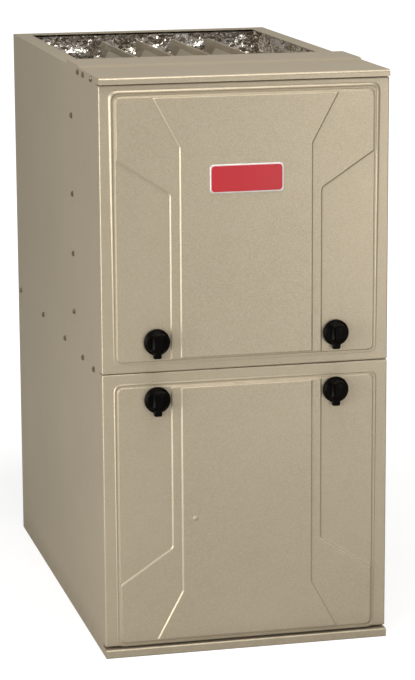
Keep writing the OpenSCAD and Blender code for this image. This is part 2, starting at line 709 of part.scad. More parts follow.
module inducer_housing() color(BLACK) {
  y0 = fan_front - fan_depth;
  z1 = fan_z + fan_r + 10;
  difference() {
    union() {
      translate([fan_x, 0, fan_z]) along_y(y0, fan_front) circle(r = fan_r + 10);
      block([fan_x, y0, z1 - duct_h], [nozzle_x, fan_front, z1]);
      bar_x(nozzle_x - eps, nozzle_x + 26, vent_y, vent_z, vent_d - 0.2);
    }
    translate([fan_x, 0, fan_z]) along_y(y0 + 3, fan_front - 3) circle(r = fan_r + 7);
    block([fan_x, y0 + 3, z1 - duct_h + 3], [nozzle_x - 3, fan_front - 3, z1 - 3]);
    bar_x(nozzle_x - 6, nozzle_x + 27, vent_y, vent_z, vent_d - 7);
    bar_y(fan_front - 4, fan_front + 1, fan_x, fan_z, inducer_d * 0.5);
    bar_y(y0 - 1, y0 + 4, fan_x, fan_z, 24);
  }
}

module inducer_wheel() color(GALV) translate([fan_x, 0, fan_z]) {
  y0 = fan_front - fan_depth + 8;
  r = inducer_d / 2;
  along_y(y0, y0 + 1.5) circle(r = r);
  bar_y(y0, y0 + 14, 0, 0, 22);
  along_y(y0 + 1.5 - eps, y0 + inducer_w) for (i = [0 : 19]) rotate(i * 18)
    translate([r - 15, 0]) rotate(35) square([14, 1.4]);
  bar_y(fan_front - fan_depth - 30, y0 + eps, 0, 0, fan_shaft_d);
}

module inducer_motor() color(BLACK) translate([fan_x, 0, fan_z]) {
  y1 = fan_front - fan_depth;
  difference() {
    union() {
      bar_y(y1 - 62, y1 - 8, 0, 0, 84);
      bar_y(y1 - 68, y1 - 62 + eps, 0, 0, 60);
      for (a = [45, 135, 225, 315]) rotate([0, a, 0]) bar_y(y1 - 12, y1, 36, 0, 9);
    }
    bar_y(y1 - 40, y1 + 1, 0, 0, fan_shaft_d + 2 * bearing_gap);
  }
}

// Rubber coupling from x0 to the casing's right side, where it takes the pipe
module pipe_socket(x0, y, z, inner_l) difference() {
  bar_x(x0, half_w, y, z, vent_d + 2 * coupling_wall);
  bar_x(half_w - socket_l, half_w + 1, y, z, vent_d);
  bar_x(x0 - 1, x0 + inner_l, y, z, vent_d);
  bar_x(x0 - 2, half_w, y, z, vent_d - 8);
}

module vent_coupling() color(BLACK) pipe_socket(nozzle_x + 3, vent_y, vent_z, 25);
module air_coupling() color(BLACK) pipe_socket(box_half, air_y, pass_z1, 0);

// ---------- Burners and gas ----------

module burner_box() color(GALV) difference() {
  block([-box_half, box_y0, box_z0], [box_half, cell_y, box_z1]);
  block([sheet - box_half, box_y0 + sheet, box_z0 + sheet], [box_half - sheet, cell_y + 1, box_z1 - sheet]);
  for (x = cells_x) bar_y(box_y0 - 1, box_y0 + 2, x, pass_z1, bell_d - 8);
  bar_z(box_z0 - 1, box_z0 + 2, cells_x[cell_n - 1], cell_y - 26, 12.4);
  bar_z(box_z0 - 1, box_z0 + 2, cells_x[0], cell_y - 26, 7);
  bar_x(box_half - 3, box_half + 1, air_y, pass_z1, vent_d - 8);
}

module burner(x) translate([x, box_y0, pass_z1]) rotate([-90, 0, 0]) {
  r = bell_d / 2;
  y0 = sheet + seat_gap;
  rotate_extrude() polygon([[r, y0], [r, 9], [12, 30], [12, 58], [17, burner_l - 22], [18, burner_l - 9],
    [16.6, burner_l - 9], [10.6, 58], [10.6, 30], [r - 1.4, 8.6], [r - 1.4, y0]]);
}

module burners() color(GALV) for (x = cells_x) burner(x);

module gas_manifold() color(BLACK) difference() {
  union() {
    bar_x(-box_half + 4, box_half - 4, manifold_y, pass_z1, manifold_d);
    bar_z(valve_z1, pass_z1, valve_x, manifold_y, riser_d);
    for (s = [-1, 1]) translate([s * (box_half - 12), 0, pass_z1])
      block([-8, manifold_y, -1.5], [8, box_y0, 1.5]);
  }
  for (x = cells_x) bar_y(manifold_y, manifold_y + 20, x, pass_z1, 10);
}

module gas_orifices() color("goldenrod") for (x = cells_x) {
  y0 = manifold_y + manifold_d / 2;
  bar_y(manifold_y + 1, y0 + 2, x, pass_z1, 9.9);
  translate([x, y0 + 1, pass_z1]) rotate([-90, 0, 0]) cylinder(d = 14, h = 7, $fn = 6);
  bar_y(y0 + 7, box_y0 - 6, x, pass_z1, 8);
}

module gas_valve() color(GALV) {
  y = manifold_y;
  x0 = valve_x - valve[0] / 2;
  z0 = valve_z1 - valve[2];
  difference() {
    union() {
      block([x0, y - valve[1] / 2, z0 + 10], [x0 + valve[0], y + valve[1] / 2, valve_z1 - 8]);
      bar_z(valve_z1 - 9, valve_z1, valve_x, y, 34);
      bar_x(x0 + valve[0] - eps, x0 + valve[0] + 12, y, valve_zc, 34);
      for (s = [-1, 1]) bar_z(z0, z0 + 11, valve_x + s * 18, y, 26);
      bar_y(y - valve[1] / 2 - 6, y - valve[1] / 2 + eps, valve_x, valve_zc + 4, 30);
    }
    bar_x(x0 + valve[0] - 10, x0 + valve[0] + 13, y, valve_zc, gas_bore);
    bar_y(y - valve[1] / 2 - 7, y - valve[1] / 2 + 4, valve_x, valve_zc + 4, 6 + 2 * bearing_gap);
  }
}

module gas_valve_switch() color(BLACK) translate([valve_x, manifold_y - valve[1] / 2 - 6, valve_zc + 4]) {
  bar_y(-10, -seat_gap, 0, 0, 24);
  translate([-3, -15, -10]) cube([6, 6, 20]);
  bar_y(-1, 8, 0, 0, 6);
}

module gas_grommet() color(BLACK) difference() {
  y = manifold_y;
  union() {
    bar_x(half_w - sheet, half_w, y, valve_zc, gas_hole_d - 0.2);
    bar_x(half_w - sheet - 4, half_w - sheet, y, valve_zc, gas_hole_d + 8);
  }
  bar_x(half_w - 9, half_w + 1, y, valve_zc, gas_hole_d - 10);
}

// Ceramic igniter with its silicon element in front of the last burner
module igniter() color("ivory") {
  x = cells_x[cell_n - 1];
  bar_z(box_z0 - 20, box_z0 + 14, x, cell_y - 26, 12);
  block([x - 14, cell_y - 35, box_z0 - 5], [x + 14, cell_y - 17, box_z0]);
}

module flame_sensor() color("ivory") {
  x = cells_x[0];
  bar_z(box_z0 - 24, box_z0 - 3, x, cell_y - 26, 11);
  bar_z(box_z0 - 4, box_z0 + 16, x, cell_y - 26, 6);
  block([x - 9, cell_y - 36, box_z0 - 4], [x + 9, cell_y - 14, box_z0]);
}

// ---------- Safety switches ----------

module rollout_switch() color(BLACK) difference() {
  union() {
    translate([-box_half + 26, 0, box_z1]) bar_z(0, 9, 0, box_y0 + 30, 18);
    block([-box_half + 10, box_y0 + 20, box_z1], [-box_half + 42, box_y0 + 40, box_z1 + 1.5]);
  }
  bar_z(box_z1 + 3, box_z1 + 12, -box_half + 26, box_y0 + 30, 5 + 2 * bearing_gap);
}

module rollout_reset_button() color("firebrick")
  bar_z(box_z1 + 3.5 + reset_travel, box_z1 + 11 + reset_travel, -box_half + 26, box_y0 + 30, 5);

module limit_switch() color(BLACK) {
  z = pass_z3 + 10;
  block([130, cell_y - 2, z - 12], [178, cell_y, z + 12]);
  bar_y(cell_y - 12, cell_y - 1, 154, z, 20);
}

// Round switch on the cell panel, with a nipple below it for its hose
module pressure_switch() color(BLACK) {
  block([hose_x - 44, cell_y - 2, hose_z - 40], [hose_x + 34, cell_y, hose_z + 40]);
  bar_y(cell_y - 26, cell_y - 2 + eps, hose_x - 5, hose_z, 70);
  bar_y(cell_y - 36, cell_y - 26 + eps, hose_x - 5, hose_z, 32);
  bar_z(hose_z - 52, hose_z - 10, hose_x, cell_y - 14, 6);
}

// Rubber hose from the pressure switch down to the collector box
module pressure_tube() color(BLACK) difference() {
  bar_z(coil_z1 + 7, hose_z - 36, hose_x, cell_y - 14, 10);
  bar_z(coil_z1 + 6, hose_z - 35, hose_x, cell_y - 14, 6.2);
}

// ---------- Condensate ----------

module condensate_trap() color(BLACK) {
  z0 = deck_z + sheet;
  difference() {
    block([coil_w / 2 - 44, trap_y - 22, z0], [coil_w / 2, fan_front - 2, drain_z + 50]);
    bar_x(coil_w / 2 - 10, coil_w / 2 + 1, trap_y, drain_z, drain_d - 6);
  }
  bar_y(fan_front - 2 - eps, fan_front + 2, coil_w / 2 - 30, coil_z0 + 10, 11.8);
}

module drain_tube() color(BLACK) difference() {
  bar_x(coil_w / 2, half_w, trap_y, drain_z, drain_d);
  bar_x(coil_w / 2 - 1, half_w + 1, trap_y, drain_z, drain_d - 6);
}

// ---------- Blower ----------

// Outline of the scroll in Y and Z, drawn out by g and carried up to height top
function scroll_outline(g, top) = let (a0 = acos((scroll_r0 * cos(cutoff_a) - g) / (scroll_r0 + g)))
  concat([for (i = [0 : 32]) let (a = a0 + i * (360 - a0) / 32)
    let (r = scroll_r0 + scroll_growth * i / 32 + g) [wheel_y + r * cos(a), wheel_z + r * sin(a)]],
    [[outlet_y1 + g, top], [outlet_y0 - g, top]]);

module blower_housing() color(GALV) difference() {
  union() {
    along_x(-housing_in - sheet, housing_in + sheet) polygon(scroll_outline(sheet, deck_z));
    for (s = [-1, 1]) translate([s * (housing_in + sheet + 3), 0, 0])
      bar_x(-3, 3, wheel_y, wheel_z, 2 * inlet_r + 8);
    block([-housing_in - 16, outlet_y0 - 16, deck_z - sheet], [housing_in + 16, outlet_y1 + 16, deck_z]);
  }
  along_x(-housing_in, housing_in) polygon(scroll_outline(0, deck_z + 1));
  bar_x(-housing_in - 20, housing_in + 20, wheel_y, wheel_z, 2 * inlet_r);
}

// One forward-curved blade of the wheel, seen along the shaft
module wheel_blade() {
  n = 4;
  r0 = wheel_r - blade_depth;
  mid = [for (k = [0 : n]) let (t = k / n) [r0 + (blade_depth - 0.6) * t, 16 * t * t]];
  polygon([for (k = [0 : n]) mid[k][0] * [cos(mid[k][1]), sin(mid[k][1])],
    for (k = [n : -1 : 0]) mid[k][0] * [cos(mid[k][1] + 0.55), sin(mid[k][1] + 0.55)]]);
}

// Double-inlet wheel with forward-curved blades, end rings and a middle disc on its hub
module blower_wheel() color(GALV) translate([0, wheel_y, wheel_z]) difference() {
  union() {
    along_x(-wheel_w / 2, wheel_w / 2) for (i = [0 : blade_n - 1]) rotate(i * 360 / blade_n) wheel_blade();
    for (x = [-wheel_w / 2 - 1, wheel_w / 2 - 2]) along_x(x, x + 3) difference() {
      circle(r = wheel_r);
      circle(r = wheel_r - blade_depth + 6);
    }
    along_x(hub_x, hub_x + 2) circle(r = wheel_r - 4);
    bar_x(hub_x - 16, hub_x + 16, 0, 0, 44);
  }
  bar_x(hub_x - 17, hub_x + 17, 0, 0, shaft_d + 2 * bearing_gap);
}

module blower_shaft() color(STEEL) bar_x(hub_x - 24, motor_x1 - 20, wheel_y, wheel_z, shaft_d);

module blower_motor() color(BLACK) difference() {
  union() {
    bar_x(motor_x0 + 12, motor_x1 - 12, wheel_y, wheel_z, motor_d);
    bar_x(motor_x0 + 4, motor_x0 + 12 + eps, wheel_y, wheel_z, motor_d - 14);
    bar_x(motor_x1 - 12 - eps, motor_x1 - 4, wheel_y, wheel_z, motor_d - 14);
    bar_x(motor_x0, motor_x0 + 5, wheel_y, wheel_z, 44);
    bar_x(motor_x1 - 5, motor_x1, wheel_y, wheel_z, 44);
  }
  bar_x(motor_x0 - 1, motor_x1 - 16, wheel_y, wheel_z, shaft_d + 2 * bearing_gap);
}

// Belly band round the motor with three arms to the rim of the housing's inlet
module motor_mount() color(STEEL) difference() {
  union() {
    bar_x(mount_x, mount_x + band_w, wheel_y, wheel_z, motor_d + 5);
    translate([0, wheel_y, wheel_z]) for (a = [90, 210, 330]) rotate([a, 0, 0]) {
      block([mount_x, motor_d / 2 + 1, -1.5], [mount_x + band_w, inlet_r + 3, 1.5]);
      block([mount_x, inlet_r - 8, -9], [mount_x + 3, inlet_r + 3, 9]);
    }
  }
  bar_x(mount_x - 1, mount_x + band_w + 1, wheel_y, wheel_z, motor_d);
}

// ---------- Controls ----------

module control_panel() color(GALV) {
  x1 = panel_x0 + board[0] + 74;
  difference() {
    union() {
      block([panel_x0, control_y, panel_z0], [x1, control_y + sheet, deck_z]);
      block([panel_x0, control_y, deck_z - sheet], [x1, control_y + 22, deck_z]);
      for (x = [8, board[0] - 8], z = [8, board[1] - 8])
        bar_y(control_y - 10, control_y + eps, panel_x0 + 10 + x, panel_z0 + 20 + z, 8);
    }
    bar_y(control_y - 1, control_y + 2, x1 - 30, panel_z0 + 20, conduit_d);
  }
}

module control_board() color("darkgreen") {
  x0 = panel_x0 + 10;
  z0 = panel_z0 + 20;
  y1 = control_y - 10;
  block([x0, y1 - 1.6, z0], [x0 + board[0], y1, z0 + board[1]]);
  for (i = [0 : 3]) block([x0 + 12 + i * 32, y1 - 19, z0 + 60], [x0 + 34 + i * 32, y1 - 1.5, z0 + 84]);
  for (i = [0 : 1]) block([x0 + 14 + i * 60, y1 - 13, z0 + 8], [x0 + 62 + i * 60, y1 - 1.5, z0 + 20]);
  bar_y(y1 - 22, y1 - 1.5, x0 + 120, z0 + 38, 16);
}

module transformer() color(STEEL) {
  x0 = panel_x0 + board[0] + 16;
  z0 = panel_z0 + 60;
  block([x0, control_y - 46, z0], [x0 + 50, control_y - 4, z0 + 60]);
  block([x0 + 8, control_y - 56, z0 + 12], [x0 + 42, control_y - 45, z0 + 48]);
  block([x0, control_y - 4 - eps, z0 - 12], [x0 + 50, control_y, z0 + 72]);
}

module junction_box() color(GALV) difference() {
  x0 = in_w - jbox[0];
  block([x0, jbox_y0, jbox_z0], [in_w, jbox_y0 + jbox[1], jbox_z0 + jbox[2]]);
  block([x0 + sheet, jbox_y0 + sheet, jbox_z0 + sheet],
    [in_w + 1, jbox_y0 + jbox[1] - sheet, jbox_z0 + jbox[2] - sheet]);
}

module door_switch() color(BLACK) difference() {
  union() {
    block([switch_x - 14, rail_y + 2, switch_z - 16], [switch_x + 14, rail_y + 32, rail_z0 - 4]);
    block([switch_x - 22, rail_y, rail_z0 - 4 - eps], [switch_x + 22, rail_y + rail_d, rail_z0]);
  }
  bar_y(rail_y + 1, rail_y + 26, switch_x, switch_z, 8 + 2 * bearing_gap);
}

module door_switch_plunger() color("ivory")
  bar_y(liner_back + seat_gap, rail_y + 26 - plunger_travel - 2, switch_x, switch_z, 8);

casing_wrap();
casing_side();
top_plate();
base_pan();
blower_deck();
center_rail();
cell_panel();
foil_liner();
casing_screws();
upper_door();
door_liner(upper_z0, upper_z1, knob_z[0]);  // upper_door_liner
lower_door();
door_liner(lower_z0, lower_z1, knob_z[1]);  // lower_door_liner
latch_knob(-knob_x, knob_z[0]);  // latch_knob_upper_left
latch_knob(knob_x, knob_z[0]);  // latch_knob_upper_right
latch_knob(-knob_x, knob_z[1]);  // latch_knob_lower_left
latch_knob(knob_x, knob_z[1]);  // latch_knob_lower_right
latch_stud(-knob_x, knob_z[0]);  // latch_stud_upper_left
latch_stud(knob_x, knob_z[0]);  // latch_stud_upper_right
latch_stud(-knob_x, knob_z[1]);  // latch_stud_lower_left
latch_stud(knob_x, knob_z[1]);  // latch_stud_lower_right
heat_cell(1);  // heat_cell_1
heat_cell(2);  // heat_cell_2
heat_cell(3);  // heat_cell_3
heat_cell(4);  // heat_cell_4
coupling_box();
secondary_coil();
collector_box();
inducer_housing();
inducer_wheel();
inducer_motor();
vent_coupling();
air_coupling();
burner_box();
burners();
gas_manifold();
gas_orifices();
gas_valve();
gas_valve_switch();
gas_grommet();
igniter();
flame_sensor();
rollout_switch();
rollout_reset_button();
limit_switch();
pressure_switch();
pressure_tube();
condensate_trap();
drain_tube();
blower_housing();
blower_wheel();
blower_shaft();
blower_motor();
motor_mount();
control_panel();
control_board();
transformer();
junction_box();
door_switch();
door_switch_plunger();
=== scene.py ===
# %% [markdown]
# # Dressing a forced air gas furnace in Blender
# The furnace's solids come packed from its construction model. Here they get their looks: pressed doors,
# crumpled foil, knobs, screws, finishes, a floor, soft light and a camera. Everything is in metres, +Z is
# up and the doors face -Y.

# %% Load the solids
import bpy
import bmesh
import json
import math
import random
from mathutils import Matrix, Quaternion, Vector, noise


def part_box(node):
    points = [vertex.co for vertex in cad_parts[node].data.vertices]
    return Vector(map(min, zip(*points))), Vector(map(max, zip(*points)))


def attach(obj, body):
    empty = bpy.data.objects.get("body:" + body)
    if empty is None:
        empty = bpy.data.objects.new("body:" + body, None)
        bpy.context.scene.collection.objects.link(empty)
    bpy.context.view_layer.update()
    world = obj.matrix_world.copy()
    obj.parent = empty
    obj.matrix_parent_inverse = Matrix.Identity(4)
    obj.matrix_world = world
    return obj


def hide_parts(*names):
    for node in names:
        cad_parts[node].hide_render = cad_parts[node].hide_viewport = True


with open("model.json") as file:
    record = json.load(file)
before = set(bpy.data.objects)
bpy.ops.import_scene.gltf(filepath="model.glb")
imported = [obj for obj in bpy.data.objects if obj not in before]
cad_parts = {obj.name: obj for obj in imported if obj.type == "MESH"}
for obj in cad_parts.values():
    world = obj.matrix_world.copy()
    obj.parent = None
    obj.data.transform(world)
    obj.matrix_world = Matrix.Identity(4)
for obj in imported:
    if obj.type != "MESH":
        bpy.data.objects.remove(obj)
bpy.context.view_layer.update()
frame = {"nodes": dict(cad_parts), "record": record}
nodes = frame["nodes"]

# %% [markdown]
# ## The camera
# A catalogue picture is taken with a long lens from a little above and to one side. The camera goes on a
# ball round a target: turn by the side angle, lift by the height angle, step back by the distance. A hand
# held level is never quite level, so a last small roll tips the picture.

# %% Camera
def put_in_scene(name, data):
    thing = bpy.data.objects.new(name, data)
    bpy.context.scene.collection.objects.link(thing)
    return thing


def place_camera(side, lift, roll, distance, target, lens):
    a, e = math.radians(side), math.radians(lift)
    back = Vector((math.sin(a) * math.cos(e), -math.cos(a) * math.cos(e), math.sin(e)))
    data = bpy.data.cameras.new("studio_camera")
    data.lens = lens
    data.sensor_width = 36
    camera = put_in_scene("studio_camera", data)
    camera.location = Vector(target) + back * distance
    level = back.to_track_quat("Z", "Y")
    camera.rotation_euler = (level @ Quaternion((0, 0, 1), math.radians(roll))).to_euler()
    bpy.context.scene.camera = camera
    return camera

camera = place_camera(side=-13.5, lift=11.99, roll=-0.31, distance=4.34, target=(0.027, 0, 0.408), lens=139.5)
print("camera at", tuple(round(v, 3) for v in camera.location))

# %% [markdown]
# ## Shader sums written as Python
# A material is a small net of nodes. Wiring one by hand hides what it works out, so a socket is wrapped in
# a class whose + - * make the Math nodes. Any other node comes from one method that takes its type, its
# settings and its inputs, in a material as in the world.

# %% A socket that can be used in sums
class Reading:
    def __init__(self, tree, socket):
        self.tree = tree
        self.socket = socket

    def worked(self, kind, first, second):
        node = self.tree.nodes.new("ShaderNodeMath")
        node.operation = kind
        plug(self.tree, first, node.inputs[0])
        plug(self.tree, second, node.inputs[1])
        return Reading(self.tree, node.outputs[0])

    def __add__(self, other): return self.worked("ADD", self, other)
    def __radd__(self, other): return self.worked("ADD", other, self)
    def __sub__(self, other): return self.worked("SUBTRACT", self, other)
    def __rsub__(self, other): return self.worked("SUBTRACT", other, self)
    def __mul__(self, other): return self.worked("MULTIPLY", self, other)
    def __rmul__(self, other): return self.worked("MULTIPLY", other, self)


def plug(tree, value, socket):
    if isinstance(value, Reading):
        tree.links.new(value.socket, socket)
    else:
        socket.default_value = value

print("sums ready: + - *")

# %% A net of nodes
class Net:
    def __init__(self, tree):
        self.tree = tree

    def node(self, kind, settings=None, inputs=None, out=0):
        node = self.tree.nodes.new(kind)
        for key, value in (settings or {}).items():
            setattr(node, key, value)
        for key, value in (inputs or {}).items():
            plug(self.tree, value, node.inputs[key])
        return Reading(self.tree, node.outputs[out])

    def seen_white(self):
        """1 for the camera's own rays and those through glass, and a little for those off metal."""
        off_metal = 0.15
        return (self.node("ShaderNodeLightPath", out="Is Camera Ray")
                + self.node("ShaderNodeLightPath", out="Is Glossy Ray") * off_metal
                + self.node("ShaderNodeLightPath", out="Is Transmission Ray"))

print("net ready")

# %% A finish, which is one material and its shader
class Finish(Net):
    def __init__(self, name, **fixed):
        self.material = bpy.data.materials.new(name)
        self.material.use_nodes = True
        super().__init__(self.material.node_tree)
        self.shader = self.tree.nodes["Principled BSDF"]
        for key, value in fixed.items():
            self.shader.inputs[key.replace("_", " ")].default_value = value

    def place(self):
        return self.node("ShaderNodeTexCoord", out="Object")

    def noise(self, where, scale, detail=3.0, rough=0.5, out="Fac"):
        return self.node("ShaderNodeTexNoise", None,
                         {"Vector": where, "Scale": scale, "Detail": detail, "Roughness": rough}, out)

    def warped(self, where, share, scale, detail, rough):
        """The place, pulled towards a noise by a small share, so that cells in it get crooked sides."""
        pull = self.noise(where, scale, detail, rough, "Color")
        return self.node("ShaderNodeMix", {"data_type": "VECTOR"}, {0: share, 4: where, 5: pull}, 1)

    def cells(self, where, scale, out):
        return self.node("ShaderNodeTexVoronoi", {"feature": "F1"}, {"Vector": where, "Scale": scale}, out)

    def step(self, value, low, high):
        return self.node("ShaderNodeMapRange", {"interpolation_type": "SMOOTHSTEP"},
                         {"Value": value, "From Min": low, "From Max": high})

    def mix(self, share, first, second):
        return self.node("ShaderNodeMix", {"data_type": "RGBA"}, {0: share, 6: first, 7: second}, 2)

    def axis(self, where, name):
        return self.node("ShaderNodeSeparateXYZ", None, {"Vector": where}, name)

    def bump(self, height, strength, distance):
        self.set("Normal", self.node("ShaderNodeBump", None,
                                     {"Height": height, "Strength": strength, "Distance": distance}))

    def set(self, name, value):
        plug(self.tree, value, self.shader.inputs[name])


def paint_tone(red, green, blue):
    """A colour given in 0 to 255, turned into the linear light that shaders use."""
    return tuple(((v / 255 + 0.055) / 1.055) ** 2.4 if v > 10 else v / 255 / 12.92
                 for v in (red, green, blue)) + (1.0,)

print("finishes ready")

# %% [markdown]
# ## Baked enamel on sheet steel
# The cabinet is coated in a warm grey-brown enamel with silver flakes in it and a faint orange peel. A flat
# colour looks like plastic, and one tinted metal gives yellow highlights. Here the binder is warm and the
# flakes are nearly white and more metallic, so the light on an edge comes out paler than the sheet. The
# tone drifts a little over each sheet, the flakes are under a millimetre, and dust dulls the lowest edge.

# %% Cabinet enamel
def cabinet_enamel():
    f = Finish("cabinet_enamel", Specular_IOR_Level=0.2, Specular_Tint=(0.98, 0.92, 0.80, 1))
    where = f.place()
    fleck = f.noise(where, scale=950, detail=2)
    drift = f.noise(where, scale=4.5, detail=3)
    cloud = f.noise(where, scale=38, detail=4, rough=0.6)
    tone = fleck * 0.30 + drift * 0.45 + cloud * 0.25
    flake = f.step(fleck, 0.42, 0.68)
    binder = f.mix(tone, paint_tone(158, 144, 118), paint_tone(190, 176, 150))
    body = f.mix(flake * 0.55, binder, paint_tone(196, 188, 176))
    dust = (1 - f.step(f.axis(where, "Z"), 0.004, 0.05)) * cloud * 0.5
    f.set("Base Color", f.mix(dust, body, paint_tone(120, 111, 96)))
    f.set("Roughness", 0.34 + fleck * 0.12 + dust * 0.3)
    f.set("Metallic", 0.36 + flake * 0.38)
    peel = f.noise(where, scale=420, detail=2) + f.noise(where, scale=1300, detail=1) * 0.3
    f.bump(peel, 0.07, 0.0005)
    return f.material

enamel = cabinet_enamel()
print("made", enamel.name)

# %% [markdown]
# ## Galvanised and aluminised sheet
# Zinc freezes on steel in flat crystals a few millimetres wide, the spangle, each of which tilts the light
# its own way. Voronoi cells of random brightness give just that, with two greys that are close together.
# The heat exchanger's steel has an aluminium skin instead, which is duller and goes straw and brown where
# the flame heats it.

# %% Galvanised sheet
def galvanised_sheet(name, light, dark, scale):
    f = Finish(name, Metallic=0.85)
    where = f.place()
    bent = f.warped(where, 0.012, scale=60, detail=2, rough=0.5)
    grey = f.axis(f.cells(bent, scale, "Color"), "X")
    smear = f.noise(where, scale=25, detail=4, rough=0.6)
    f.set("Base Color", f.mix(grey * 0.55 + smear * 0.45, dark, light))
    f.set("Roughness", 0.30 + grey * 0.16 + smear * 0.14)
    f.bump(grey * 0.4 + f.noise(where, scale=800, detail=2) * 0.6, 0.08, 0.0004)
    return f.material

galvanised = galvanised_sheet("galvanised_spangle", paint_tone(196, 198, 199), paint_tone(162, 165, 167), 260)
plain_steel = galvanised_sheet("plain_steel", paint_tone(178, 178, 176), paint_tone(142, 142, 141), 420)
print("made", galvanised.name, plain_steel.name)

# %% Aluminised cell steel with heat tint
def cell_steel():
    f = Finish("aluminised_cell_steel", Metallic=0.55)
    where = f.place()
    smear = f.noise(where, scale=16, detail=5, rough=0.65)
    grain = f.noise(where, scale=600, detail=2)
    body = f.mix(smear, paint_tone(166, 153, 130), paint_tone(206, 195, 172))
    heat = (1 - f.step(f.axis(where, "Y"), -0.10, 0.16)) * smear
    f.set("Base Color", f.mix(heat * 0.6, body, paint_tone(138, 112, 84)))
    f.set("Roughness", 0.42 + smear * 0.2 + grain * 0.06)
    f.bump(grain * 0.3 + smear * 0.7, 0.12, 0.0008)
    return f.material

cells = cell_steel()
print("made", cells.name)

# %% [markdown]
# ## Foil
# The insulation boards are faced with aluminium foil that has been pushed about. Its looks are nearly all
# in its creases, so most of the work is done by the mesh; the shader adds the finest creases with cells
# whose flat sides each face another way, and a few dull smudges. Along its top, under the flange, the
# foil is painted dark brown and rough as painted shade.

# %% Crumpled foil
# A shade line this high is never reached, so that foil gets no painted shade band.
NO_SHADE_LINE = 9.0


def crumpled_foil(name, depth, shade_line=NO_SHADE_LINE):
    f = Finish(name, Metallic=0.94)
    where = f.place()
    bent = f.warped(where, 0.03, scale=35, detail=3, rough=0.6)
    creases = f.cells(bent, 75, "Distance") + f.cells(bent, 190, "Distance") * 0.4
    smudge = f.noise(where, scale=22, detail=4, rough=0.6)
    silver = f.mix(smudge, paint_tone(188, 174, 158), paint_tone(242, 237, 228))
    # Painted shade: a dark brown, rougher band along the top of the foil, under the flange.
    flange_painted_shade = f.step(f.axis(where, "Z") + smudge * 0.002, shade_line - 0.002, shade_line)
    f.set("Base Color", f.mix(flange_painted_shade, silver, paint_tone(52, 42, 34)))
    f.set("Roughness", 0.14 + smudge * 0.20 + flange_painted_shade * 0.5)
    f.bump(creases, 0.45, depth)
    return f.material

foil = crumpled_foil("crumpled_foil", 0.004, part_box("foil_liner")[1].z - 0.0025)
board_foil = crumpled_foil("board_foil", 0.0012)
print("made", foil.name, board_foil.name)

# %% [markdown]
# ## Mouldings, rubber and small metals
# Mouldings differ only in their colour, polish and grain, so one function with a few numbers makes them
# all. The knobs are the blackest, the rubber is the dullest, and the turned brass is the smoothest.

# %% Moulded and coated parts
def moulding(name, low, high, rough, grain_scale, grain, **fixed):
    f = Finish(name, **fixed)
    where = f.place()
    grit = f.noise(where, grain_scale, 2)
    smudge = f.noise(where, scale=30, detail=4, rough=0.6)
    f.set("Base Color", f.mix(smudge * 0.7 + grit * 0.3, low, high))
    f.set("Roughness", rough + smudge * 0.14)
    f.bump(grit, grain, 0.0005)
    return f.material

knob_black = moulding("knob_black", (0.0012, 0.0008, 0.0005, 1), (0.003, 0.002, 0.0015, 1), 0.26, 900, 0.06,
                      Specular_IOR_Level=0.05)
case_black = moulding("case_black", (0.018, 0.018, 0.018, 1), (0.040, 0.040, 0.041, 1), 0.42, 700, 0.16)
motor_black = moulding("motor_black", (0.014, 0.014, 0.015, 1), (0.035, 0.035, 0.036, 1), 0.30, 500, 0.20,
                       Coat_Weight=0.25, Coat_Roughness=0.25)
rubber_black = moulding("rubber_black", (0.016, 0.016, 0.016, 1), (0.045, 0.044, 0.043, 1), 0.62, 500, 0.22)
print("made", knob_black.name, case_black.name, motor_black.name, rubber_black.name)

# %% White, red and bright parts
ceramic_white = moulding("ceramic_white", paint_tone(214, 208, 192), paint_tone(238, 235, 226), 0.55, 400, 0.15)
plastic_white = moulding("plastic_white", paint_tone(220, 218, 208), paint_tone(238, 236, 230), 0.32, 700, 0.05)
plastic_red = moulding("plastic_red", paint_tone(160, 20, 18), paint_tone(196, 34, 30), 0.30, 700, 0.05)
brass = moulding("turned_brass", paint_tone(176, 140, 72), paint_tone(214, 180, 104), 0.22, 900, 0.10,
                 Metallic=1.0)
fins = moulding("bright_fins", paint_tone(176, 178, 180), paint_tone(214, 215, 216), 0.28, 900, 0.10,
                Metallic=0.9)
print("made", ceramic_white.name, plastic_white.name, plastic_red.name, brass.name, fins.name)

# %% Circuit board mask
def board_mask():
    f = Finish("circuit_board", Coat_Weight=0.3, Coat_Roughness=0.2)
    where = f.place()
    tracks = f.node("ShaderNodeTexBrick", {"offset": 0.5},
                    {"Vector": where, "Scale": 90.0, "Mortar Size": 0.05, "Color1": (0, 0, 0, 1),
                     "Color2": (0.25, 0.25, 0.25, 1), "Mortar": (1, 1, 1, 1)}, "Color")
    lines = f.axis(tracks, "X") * f.step(f.noise(where, scale=55, detail=2), 0.40, 0.55)
    f.set("Base Color", f.mix(lines, (0.006, 0.07, 0.03, 1), (0.03, 0.19, 0.08, 1)))
    f.set("Roughness", 0.34 + lines * 0.12)
    f.bump(lines, 0.2, 0.0002)
    return f.material

circuit = board_mask()
print("made", circuit.name)

# %% [markdown]
# ## Give every solid its finish
# Each solid names its material slot in the record, so one table from slot to finish dresses them all.

# %% Finishes by slot
FINISH = {
    "casing_paint": enamel, "galvanised": galvanised, "cell_steel": cells, "bare_steel": plain_steel,
    "black_moulding": case_black, "knob_plastic": knob_black, "black_paint": motor_black,
    "foil_board": board_foil, "fins": fins, "rubber": rubber_black, "brass": brass,
    "green_board": circuit, "white_ceramic": ceramic_white, "red_plastic": plastic_red,
    "white_plastic": plastic_white,
}
slot_of = {s["node"]: s["material_slot"] for s in frame["record"]["subparts"]}
for name, solid in nodes.items():
    solid.data.materials.clear()
    solid.data.materials.append(FINISH[slot_of[name]])
print("dressed", len(slot_of), "nodes")

# %% [markdown]
# ## Making pieces from rings of points
# Pressed and moulded pieces are easiest to think of as a stack of outlines: each ring is one outline at
# one depth, and a skin is drawn from ring to ring. The same helper makes doors, knobs and screws.

